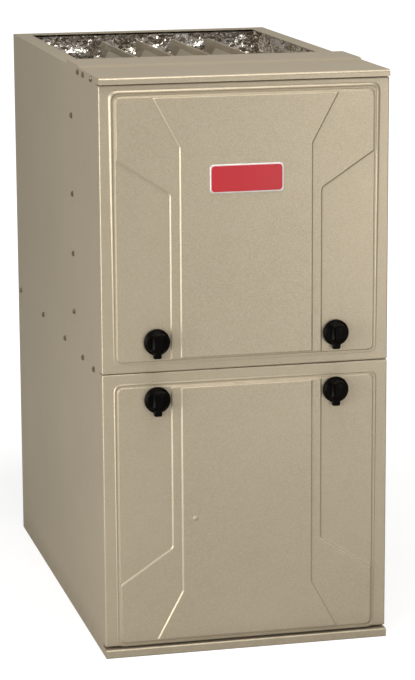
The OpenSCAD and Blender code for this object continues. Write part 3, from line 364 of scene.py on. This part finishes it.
# %% Pieces and skins
def add_piece(name, verts, faces, finish, slot, body, crease=35):
    mesh = bpy.data.meshes.new(name)
    mesh.from_pydata([tuple(v) for v in verts], [], faces)
    mesh.update()
    tidy = bmesh.new()
    tidy.from_mesh(mesh)
    bmesh.ops.recalc_face_normals(tidy, faces=tidy.faces)
    tidy.to_mesh(mesh)
    tidy.free()
    mesh.shade_smooth()
    mesh.set_sharp_from_angle(angle=math.radians(crease))
    piece = put_in_scene(name, mesh)
    mesh.materials.append(finish)
    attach(piece, body)
    return piece


def skin(rings, looped=False):
    """Verts and faces of a closed skin over rings of equal length."""
    n, m = len(rings[0]), len(rings)
    verts = [p for ring in rings for p in ring]
    faces = []
    for j in range(m if looped else m - 1):
        k = (j + 1) % m
        for i in range(n):
            faces.append((j * n + i, j * n + (i + 1) % n, k * n + (i + 1) % n, k * n + i))
    if not looped:
        faces.append(tuple(range(n - 1, -1, -1)))
        faces.append(tuple(range((m - 1) * n, m * n)))
    return verts, faces


def merged(*parts):
    """Several (verts, faces) as one."""
    verts, faces = [], []
    for v, f in parts:
        base = len(verts)
        verts += list(v)
        faces += [tuple(base + i for i in face) for face in f]
    return verts, faces

print("skins ready")

# %% Turned solids, blocks and their places
def moved(part, matrix):
    return [matrix @ Vector(v) for v in part[0]], part[1]


def to_front(x, y, z):
    """A place on a door, whose +Z looks out of the door."""
    return Matrix.Translation((x, y, z)) @ Matrix.Rotation(math.radians(90), 4, "X")


def turned(profile, count=48):
    """A turned solid round +Z from (radius, height) points."""
    rings = [[(r * math.cos(a), r * math.sin(a), h) for a in
              (2 * math.pi * i / count for i in range(count))] for r, h in profile]
    return skin(rings)


def slab(low, high, edge):
    """A block with rounded upright edges and softened rims."""
    (x0, y0, z0), (x1, y1, z1) = low, high
    e = min(edge, (x1 - x0) / 3, (y1 - y0) / 3, (z1 - z0) / 3)
    rim = e * 0.7

    def ring(inset, z):
        pts = []
        for cx, cy, start in ((x1, y1, 0), (x0, y1, 90), (x0, y0, 180), (x1, y0, 270)):
            sx, sy = (1 if cx == x1 else -1), (1 if cy == y1 else -1)
            for a in (0, 45, 90):
                t = math.radians(start + a)
                pts.append((cx - sx * (e + inset) + e * math.cos(t),
                            cy - sy * (e + inset) + e * math.sin(t), z))
        return pts

    return skin([ring(rim, z0), ring(0, z0 + rim), ring(0, z1 - rim), ring(rim, z1)])

print("turned solids and blocks ready")

# %% [markdown]
# ## The pressed doors
# Each door is one sheet. The press gives it a shallow field inside a raised bead, then two more steps: a
# terrace and a middle panel, whose walls run straight up from the knobs and then lean out to the corners.
# A boolean or a bump map would leave hard or painted-on edges, so every step is a stack of outlines. Its
# wall rises in an S with a steep middle and long flanks, and it is the slow turn of the flanks that draws
# the bright lines along the steps. The three rims lie close together. A wall bends softly, but it ends
# sharply where it runs into the rim.

# %% Sizes of the pressing
FACE, EDGE, HALF = -0.363, -0.343, 0.22225   # the doors' face and rear edge, half the cabinet's width
KNOB_X = 0.139
STEP, RUN, STEEP = 0.002, 3.6, 7.5           # a wall's rise, its width in rises, how steep its middle is
FIELD = 0.2005                               # half the field's width
RIMS = ((0, 0.0032), (0.0022, 0.0048), (0.0038, 0.0064))      # where each level's rim starts and ends
WALLS = {2: (0.1201, 0.150, 0.66), 3: (0.1051, 0.080, 1.85)}  # where it stands, bends, and how it leans
SOFT, SHARP = 0.009, 0.0012                  # corner radii
DOORS = {
    "upper": {"foot": 0.4424, "top": 0.8746, "field": 0.458, "height": 0.4018, "way": 1, "knobs": 0.489,
              "bead": (0.0072, 0.0024, 0.12)},
    "lower": {"foot": 0.0168, "top": 0.4416, "field": 0.422, "height": 0.4025, "way": -1, "knobs": 0.4005,
              "bead": (0.0042, 0.0012, 0.35)},
}
print("doors", list(DOORS))

# %% Outlines of the three levels
def level_outline(level, height, f, g):
    """Corners (x, height, radius) of one half. The rim is inset by f and the leaning walls by g."""
    x, top = FIELD - f, height - f
    if level == 1:
        return [(x, f, SOFT), (x, top, SOFT)]
    wall, drop, lean = WALLS[level]
    bend, shift = height - drop, g * math.hypot(1, lean)
    start = [(wall - g, f, SHARP), (wall - g, bend - g * lean + shift, SOFT)]
    if level == 2:
        return start + [(x, bend + (x - wall) * lean + shift, SHARP), (x, top, SOFT)]
    return start + [(wall + (top - bend - shift) / lean, top, SHARP)]


def rounded(corners, count=8):
    """Points of a closed outline, with each (x, z, radius) corner turned into a smooth curve."""
    out = []
    for i, corner in enumerate(corners):
        a, b, c = (Vector(p[:2]) for p in (corners[i - 1], corner, corners[(i + 1) % len(corners)]))
        u, v = (a - b).normalized(), (c - b).normalized()
        reach = min(corner[2] / math.tan(math.acos(max(-1, min(1, u.dot(v)))) / 2),
                    0.45 * (a - b).length, 0.45 * (c - b).length)
        for k in range(count + 1):
            s = k / count
            out.append(b + u * reach * (1 - s) ** 2 + v * reach * s ** 2)
    return out


def outline_at(door, level, y, f, g=0, wider=0.0):
    half = [(x, h, r + wider) for x, h, r in level_outline(level, door["height"], f, g)]
    whole = half + [(-x, h, r) for x, h, r in reversed(half)]
    return [(p.x, y, door["field"] + door["way"] * p.y) for p in rounded(whole)]

print("outlines ready")

# %% Pressed levels
def pressed_level(door, level, count=16):
    """A plateau whose foot is sunk a little into the level under it."""
    sunk, roll = 0.0005, 0.0004
    ground = FACE - (level - 1) * STEP
    near, far = RIMS[level - 1]
    run = STEP * RUN if level > 1 else 0
    rings = [outline_at(door, level, ground + sunk, near)]
    for k in range(count + 1):
        t = k / count
        rise = 0.5 + math.tanh(STEEP * (t - 0.5)) / math.tanh(STEEP / 2) / 2
        rings.append(outline_at(door, level, ground - rise * STEP, near + t * (far - near), t * run))
    last = run + roll if level > 1 else 0
    rings.append(outline_at(door, level, ground - STEP, far + roll, last))
    return skin(rings)

print("pressed levels ready")

# %% [markdown]
# ## The bead round the field
# A bead stiffens the sheet round the field. It is tallest and widest at the door's top and fades towards
# its foot, and its crest lies nearer the field, so its inner side is the steeper one. It is a closed skin
# of rings that lie between two outlines, a tight one and a loose one.

# %% Bead
def border_bead(door, wide, rise, fade, count=20):
    gap, buried, backing = 0.0010, 0.00003, 0.0006
    top = door["field"] + door["height"] * (door["way"] > 0)
    inner = outline_at(door, 1, FACE, -gap, wider=0.001)
    outer = outline_at(door, 1, FACE, -gap - wide, wider=0.005)
    rings = []
    for k in range(count + 1):
        t = k / count
        lift = math.sin(math.pi * min(1, (t * 1.08) ** 1.7))
        ring = []
        for tight, loose in zip(inner, outer):
            left = 1 - (1 - fade) * max(0, min(1, (top - tight[2]) / door["height"])) ** 0.8
            p = Vector(tight).lerp(Vector(loose), (1 - t) * (0.4 + 0.6 * left))
            p.y = FACE + buried - lift * rise * left
            ring.append(tuple(p))
        rings.append(ring)
    rings.append([(x, FACE + backing, h) for x, y, h in rings[count // 2]])
    return skin(rings, looped=True)

print("bead ready")

# %% Door pans
def box_corners(half, low, high, radius):
    return [(half, low, radius), (half, high, radius), (-half, high, radius), (-half, low, radius)]


def pan(z0, z1):
    """The door's sheet: a flat face, a bend all round, a hem to the rear and the sheet's inside."""
    rear, bend, sheet, flat = EDGE - 0.0003, 0.0022, 0.0012, 0.0006

    def ring(inset, y):
        return [(p.x, y, p.y) for p in rounded(box_corners(HALF - inset, z0 + inset, z1 - inset, bend), 5)]

    rings = [ring(bend + flat, FACE)]
    for degrees in range(0, 91, 15):
        a = math.radians(degrees)
        rings.append(ring(bend - bend * math.sin(a), FACE + bend - bend * math.cos(a)))
    rings += [ring(0, rear), ring(sheet, rear), ring(sheet, FACE + 0.0014)]
    return skin(rings)

print("pans ready")

# %% Cutting one shape out of another
def cut_away(piece, part):
    """Takes a closed (verts, faces) out of a piece, by a modifier that is applied to its mesh."""
    verts, faces = part
    mesh = bpy.data.meshes.new("cutter")
    mesh.from_pydata(verts, [], faces)
    cutter = put_in_scene("cutter", mesh)
    cut = piece.modifiers.new("cut", "BOOLEAN")
    cut.operation, cut.solver, cut.object = "DIFFERENCE", "EXACT", cutter
    bpy.context.view_layer.update()
    done = bpy.data.meshes.new_from_object(piece.evaluated_get(bpy.context.evaluated_depsgraph_get()))
    piece.modifiers.clear()
    piece.data = done
    bpy.data.objects.remove(cutter)
    bpy.data.meshes.remove(mesh)


def bored(piece, spots):
    """The holes for the latch studs, cut through a piece along Y."""
    radius, front, rear = 0.0044, -0.38, -0.34
    for x, z in spots:
        cut_away(piece, moved(turned([(radius, 0), (radius, rear - front)], 32), to_front(x, rear, z)))

print("cutting ready")

# %% Both doors
for name, door in DOORS.items():
    body = name + "_door"
    bores = [(x, door["knobs"]) for x in (-KNOB_X, KNOB_X)]
    shell = add_piece(name + "_door_pan", *pan(door["foot"], door["top"]), enamel, "casing_paint", body)
    bored(shell, bores)
    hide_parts(body)
    field = add_piece(name + "_door_field", *pressed_level(door, 1), enamel, "casing_paint", body)
    bored(field, bores)
    steps = merged(pressed_level(door, 2), pressed_level(door, 3))
    add_piece(name + "_door_steps", *steps, enamel, "casing_paint", body)
    bead = border_bead(door, *door["bead"])
    add_piece(name + "_door_bead", *bead, enamel, "casing_paint", body)
    print(body, "pressed")

# %% [markdown]
# ## The badge
# The upper door carries a small red plate. It stays bare: a plain enamelled plate with a bright rim.

# %% Bare badge plate
BADGE_Z, BADGE_CORNER = 0.7315, 0.006
PLATE_EDGE = ((0, 0), (0, 0.55), (0.2, 0.85), (0.5, 1), (0.9, 1))   # inset and height, in depths
PANEL = FACE - 3 * STEP


def badge_plate(name, half_w, half_h, y, depth, finish, slot):
    rings = []
    for share, out in PLATE_EDGE:
        inset = depth * share
        corners = box_corners(half_w - inset, -half_h + inset, half_h - inset, BADGE_CORNER)
        rings.append([(p.x, y - depth * out, p.y + BADGE_Z) for p in rounded(corners, 6)])
    return add_piece(name, *skin(rings), finish, slot, "upper_door")

enamel_red = moulding("badge_red", paint_tone(176, 22, 32), paint_tone(186, 28, 38), 0.30, 700, 0.03,
                      Coat_Weight=0.3, Coat_Roughness=0.2)
bright_rim = moulding("badge_rim", paint_tone(205, 203, 200), paint_tone(232, 230, 228), 0.24, 900, 0.05,
                      Metallic=0.6)
badge_plate("badge_rim_plate", 0.0565, 0.0215, PANEL + 0.0003, 0.0013, bright_rim, "bare_steel")
badge_plate("badge_red_plate", 0.0545, 0.0195, PANEL - 0.0006, 0.0011, enamel_red, "red_plastic")
print("badge plate made")

# %% [markdown]
# ## Quarter-turn knobs
# A knob is moulded in one piece: a wide skirt, a domed cap with two finger hollows that leave a bar to
# turn, and a tab that points to its setting. The cap is turned like a chess piece, and the hollows are cut
# out of it, because a scooped mesh drawn by hand would never be so even.

# %% Knobs
CAP = ((0.0070, 0.0), (0.0192, 0.0), (0.0198, 0.0004), (0.0200, 0.0010), (0.0200, 0.0046), (0.0197, 0.0055),
       (0.0189, 0.0061), (0.0174, 0.0066), (0.0166, 0.0074), (0.0160, 0.0100), (0.0155, 0.0160),
       (0.0150, 0.0184), (0.0140, 0.0198), (0.0122, 0.0207), (0.0080, 0.0211), (0.0030, 0.0211))


def knob(side, door, x, z):
    name, body = f"knob_{door}_{side}", f"latch_{door}_{side}"
    front = to_front(x, FACE - STEP - 0.0003, z)
    piece = add_piece(name, *moved(turned(CAP, 64), front), knob_black, "knob_plastic", body)
    for way in (-1, 1):
        inner, outer = sorted((way * 0.0052, way * 0.0300))
        cut_away(piece, moved(slab((inner, -0.0125, 0.0095), (outer, 0.0125, 0.0300), 0.004), front))
    piece.data.shade_smooth()
    piece.data.set_sharp_from_angle(angle=math.radians(32))
    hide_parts(f"latch_knob_{door}_{side}")
    tab = slab((-0.0062, -0.0248, 0.0023), (0.0062, -0.0150, 0.0092), 0.0028)
    add_piece(name + "_tab", *moved(tab, front), knob_black, "knob_plastic", body)
    bar = slab((-0.0046, -0.0150, 0.0090), (0.0046, 0.0150, 0.0200), 0.0016)
    add_piece(name + "_bar", *moved(bar, front), knob_black, "knob_plastic", body)

for name, door in DOORS.items():
    for side, x in (("left", -KNOB_X), ("right", KNOB_X)):
        knob(side, name, x, door["knobs"])
print("four knobs made")

# %% [markdown]
# ## Casing screws
# The side sheets are held by hexagon washer-head screws. Their zinc is dull, and is painted darker than it
# is as painted shade round the heads. One screw is made from rings, then copied to each place on both
# sides, each turned by chance, and all of them are one piece, since they never part.

# %% Screws
SCREW = 0.0047


def hex_screw():
    washer = turned([(SCREW, 0.0), (SCREW, 0.0007), (SCREW * 0.9, 0.0010)], 24)
    rings = []
    for scale, h in ((0.76, 0.0008), (0.76, 0.0025), (0.66, 0.0029), (0.40, 0.0026)):
        rings.append([(SCREW * scale * math.cos(math.radians(60 * i)),
                       SCREW * scale * math.sin(math.radians(60 * i)), h) for i in range(6)])
    return merged(washer, skin(rings))


def screw_row(spots, side):
    turn = Matrix.Rotation(math.radians(90 * side), 4, "Y")
    chance = random.Random(11)
    return [moved(hex_screw(), Matrix.Translation((side * HALF, y, z)) @ turn
                  @ Matrix.Rotation(chance.uniform(0, 6), 4, "Z")) for y, z in spots]

# Painted shade: the zinc is darkened to stand for the shade round the screw heads.
screw_zinc_painted_shade = moulding("screw_zinc_painted_shade", paint_tone(84, 75, 60), paint_tone(140, 129, 108), 0.30, 900, 0.10,
                      Metallic=0.8)
spots = [(FACE + y, 0.879) for y in (0.052, 0.114, 0.155)]
spots += [(-0.149, z) for z in (0.498, 0.590, 0.684, 0.806)]
spots += [(FACE + y, 0.4382) for y in (0.062, 0.148, 0.298, 0.495, 0.718)]
screws = add_piece("casing_screw_heads", *merged(*screw_row(spots, -1), *screw_row(spots, 1)), screw_zinc_painted_shade,
                   "casing_paint", "casing")
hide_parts("casing_screws")
print("screws", len(spots) * 2)

# %% Dimple in the lower door
dimple = turned([(0.0042, -0.0002), (0.0040, 0.0002), (0.0030, 0.0009), (0.0016, 0.0012), (0.0004, 0.0013)], 24)
add_piece("lower_door_dimple", *moved(dimple, to_front(-0.0815, PANEL, 0.2126)), enamel, "casing_paint",
          "lower_door")
print("dimple made")

# %% [markdown]
# ## Crumpled foil boards
# Foil keeps every dent, and between dents it stays flat. A fine grid is pushed in and out by noise at three
# sizes. The two larger are folded at their middle, so that their ridges are sharp, and the finest only
# ripples. The grid is left flat-shaded: each triangle then mirrors its own bit of the room, which is how
# real foil glitters.

# %% Foil creases
def crease(u, v, seed):
    p = Vector((u * 11 + v * 6 + seed, v * 15 - u * 4, seed))
    big = 1 - abs(noise.noise(p)) * 1.7
    mid = 1 - abs(noise.noise(p * 2.3 + Vector((9, 3, 1)))) * 1.6
    fine = noise.noise(p * 5.5)
    return big * 0.62 + mid * 0.34 + fine * 0.2 - 0.6

print("creases ready")

# %% Foil boards
THICK, PITCH, DEEP, PROUD = 0.012, 0.0055, 0.013, 0.0065   # board, grid, creases, and the most they stand out


def foil_board(name, origin, along, up, inward, width, height, seed):
    """A board whose face is crumpled foil; origin is a corner of its back."""
    chance = random.Random(seed)
    cols, rows = round(width / PITCH), round(height / PITCH)
    verts, faces = [], []
    for j in range(rows + 1):
        for i in range(cols + 1):
            u, v = i / cols * width, j / rows * height
            rim = min(i, cols - i, j, rows - j)
            push = crease(u, v, seed) * DEEP + chance.uniform(-0.0011, 0.0011)
            push = max(-THICK * 0.6, min(PROUD, push)) if rim > 1 else min(push, 0.001) * 0.5
            if rim > 0:
                u += chance.uniform(-0.0014, 0.0014)
                v += chance.uniform(-0.0014, 0.0014)
            verts.append(origin + along * u + up * v + inward * (THICK + push))
    for j in range(rows):
        for i in range(cols):
            a = j * (cols + 1) + i
            b, c, d = a + 1, a + cols + 2, a + cols + 1
            faces += [(a, b, c), (a, c, d)] if (i + j) % 2 else [(a, b, d), (b, c, d)]
    edge = ([j * (cols + 1) for j in range(rows, -1, -1)] + list(range(1, cols + 1))
            + [j * (cols + 1) + cols for j in range(1, rows + 1)]
            + [rows * (cols + 1) + i for i in range(cols - 1, 0, -1)])
    base = len(verts)
    verts += [verts[k] - inward * ((verts[k] - origin).dot(inward)) for k in edge]
    for k in range(len(edge)):
        m = (k + 1) % len(edge)
        faces.append((edge[k], edge[m], base + m, base + k))
    faces.append(tuple(range(base, base + len(edge))))
    piece = add_piece(name, verts, faces, foil, "foil_board", "casing", crease=1)
    piece.data.shade_flat()
    return piece

low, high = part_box("foil_liner")
across, inside, upward = Vector((1, 0, 0)), Vector((0, 1, 0)), Vector((0, 0, 1))
back = foil_board("foil_back", Vector((low.x + THICK, high.y, low.z)), across, upward, -inside,
                  high.x - low.x - 2 * THICK, high.z - low.z, 3)
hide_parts("foil_liner")
for side, x, way, seed in (("left", low.x, 1, 5), ("right", high.x, -1, 8)):
    board = foil_board("foil_" + side, Vector((x, low.y, low.z)), inside, upward, across * way,
                       high.y - low.y, high.z - low.z, seed)
    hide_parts("foil_liner")
print("foil boards made")

# %% [markdown]
# ## Studio
# The floor runs out of sight. A white floor would throw light up into the doors' walls and wash out their
# shadow sides, so it is a mid grey that glows white only for the camera, for metal and through glass. The
# base pan is open, and under the cabinet the glow is taken away as painted shade. A soft box overhead and one
# low on the right light the furnace evenly, and a wide one on the left draws the bright lines along the pressed
# walls.

# %% Floor
def pale_floor():
    f = Finish("pale_floor", Roughness=0.8, Emission_Strength=1.0)
    where = f.place()
    x, y = f.axis(where, "X"), f.axis(where, "Y")
    across, along = (f.node("ShaderNodeMath", {"operation": "ABSOLUTE"}, {0: v}) for v in (x, y))
    far = f.step(f.node("ShaderNodeMath", {"operation": "SQRT"}, {0: x * x + y * y}), 0.55, 2.2)
    # Painted shade: under the cabinet the glow is cut, so the floor there shows dark.
    painted_shade_beneath = (1 - f.step(across, 0.19, HALF)) * (1 - f.step(along, 0.31, -EDGE))
    glow = f.seen_white() * (0.72 + far * 0.28) * (1 - painted_shade_beneath * 0.9)
    tone = f.noise(where, scale=3, detail=3)
    f.set("Base Color", f.mix(tone, (0.38, 0.38, 0.375, 1), (0.42, 0.42, 0.415, 1)))
    f.set("Emission Color", f.mix(glow, (0, 0, 0, 1), (1, 1, 1, 1)))
    return f.material

bpy.ops.mesh.primitive_plane_add(size=24, location=(0, 0, 0))
floor = bpy.context.object
floor.name = "studio_floor"
floor.data.materials.append(pale_floor())
print("floor laid")

# %% World and lights
world = bpy.data.worlds.new("studio_world")
bpy.context.scene.world = world
world.use_nodes = True
net = Net(world.node_tree)
sky = net.tree.nodes["Background"]
plug(net.tree, 0.26 + net.seen_white() * 0.74, sky.inputs["Strength"])
sky.inputs["Color"].default_value = (1, 1, 1, 1)


def soft_box(name, place, aim, width, height, watts):
    data = bpy.data.lights.new(name, "AREA")
    data.shape, data.size, data.size_y, data.energy = "RECTANGLE", width, height, watts
    lamp = put_in_scene(name, data)
    lamp.location = place
    lamp.rotation_euler = (Vector(place) - Vector(aim)).to_track_quat("Z", "Y").to_euler()

soft_box("box_overhead", (0.1, -0.9, 2.8), (0, -0.1, 0.6), 1.8, 0.9, 49)
soft_box("box_front_right", (1.05, -2.3, 0.3), (0.1, -0.36, 0.4), 0.6, 1.8, 13)
soft_box("box_left", (-1.95, -1.5, 0.7), (0, -0.3, 0.45), 1.7, 1.4, 48)
bpy.context.scene.view_settings.view_transform = "Standard"
print("studio ready")

# %% End of the scene
print("scene ready")
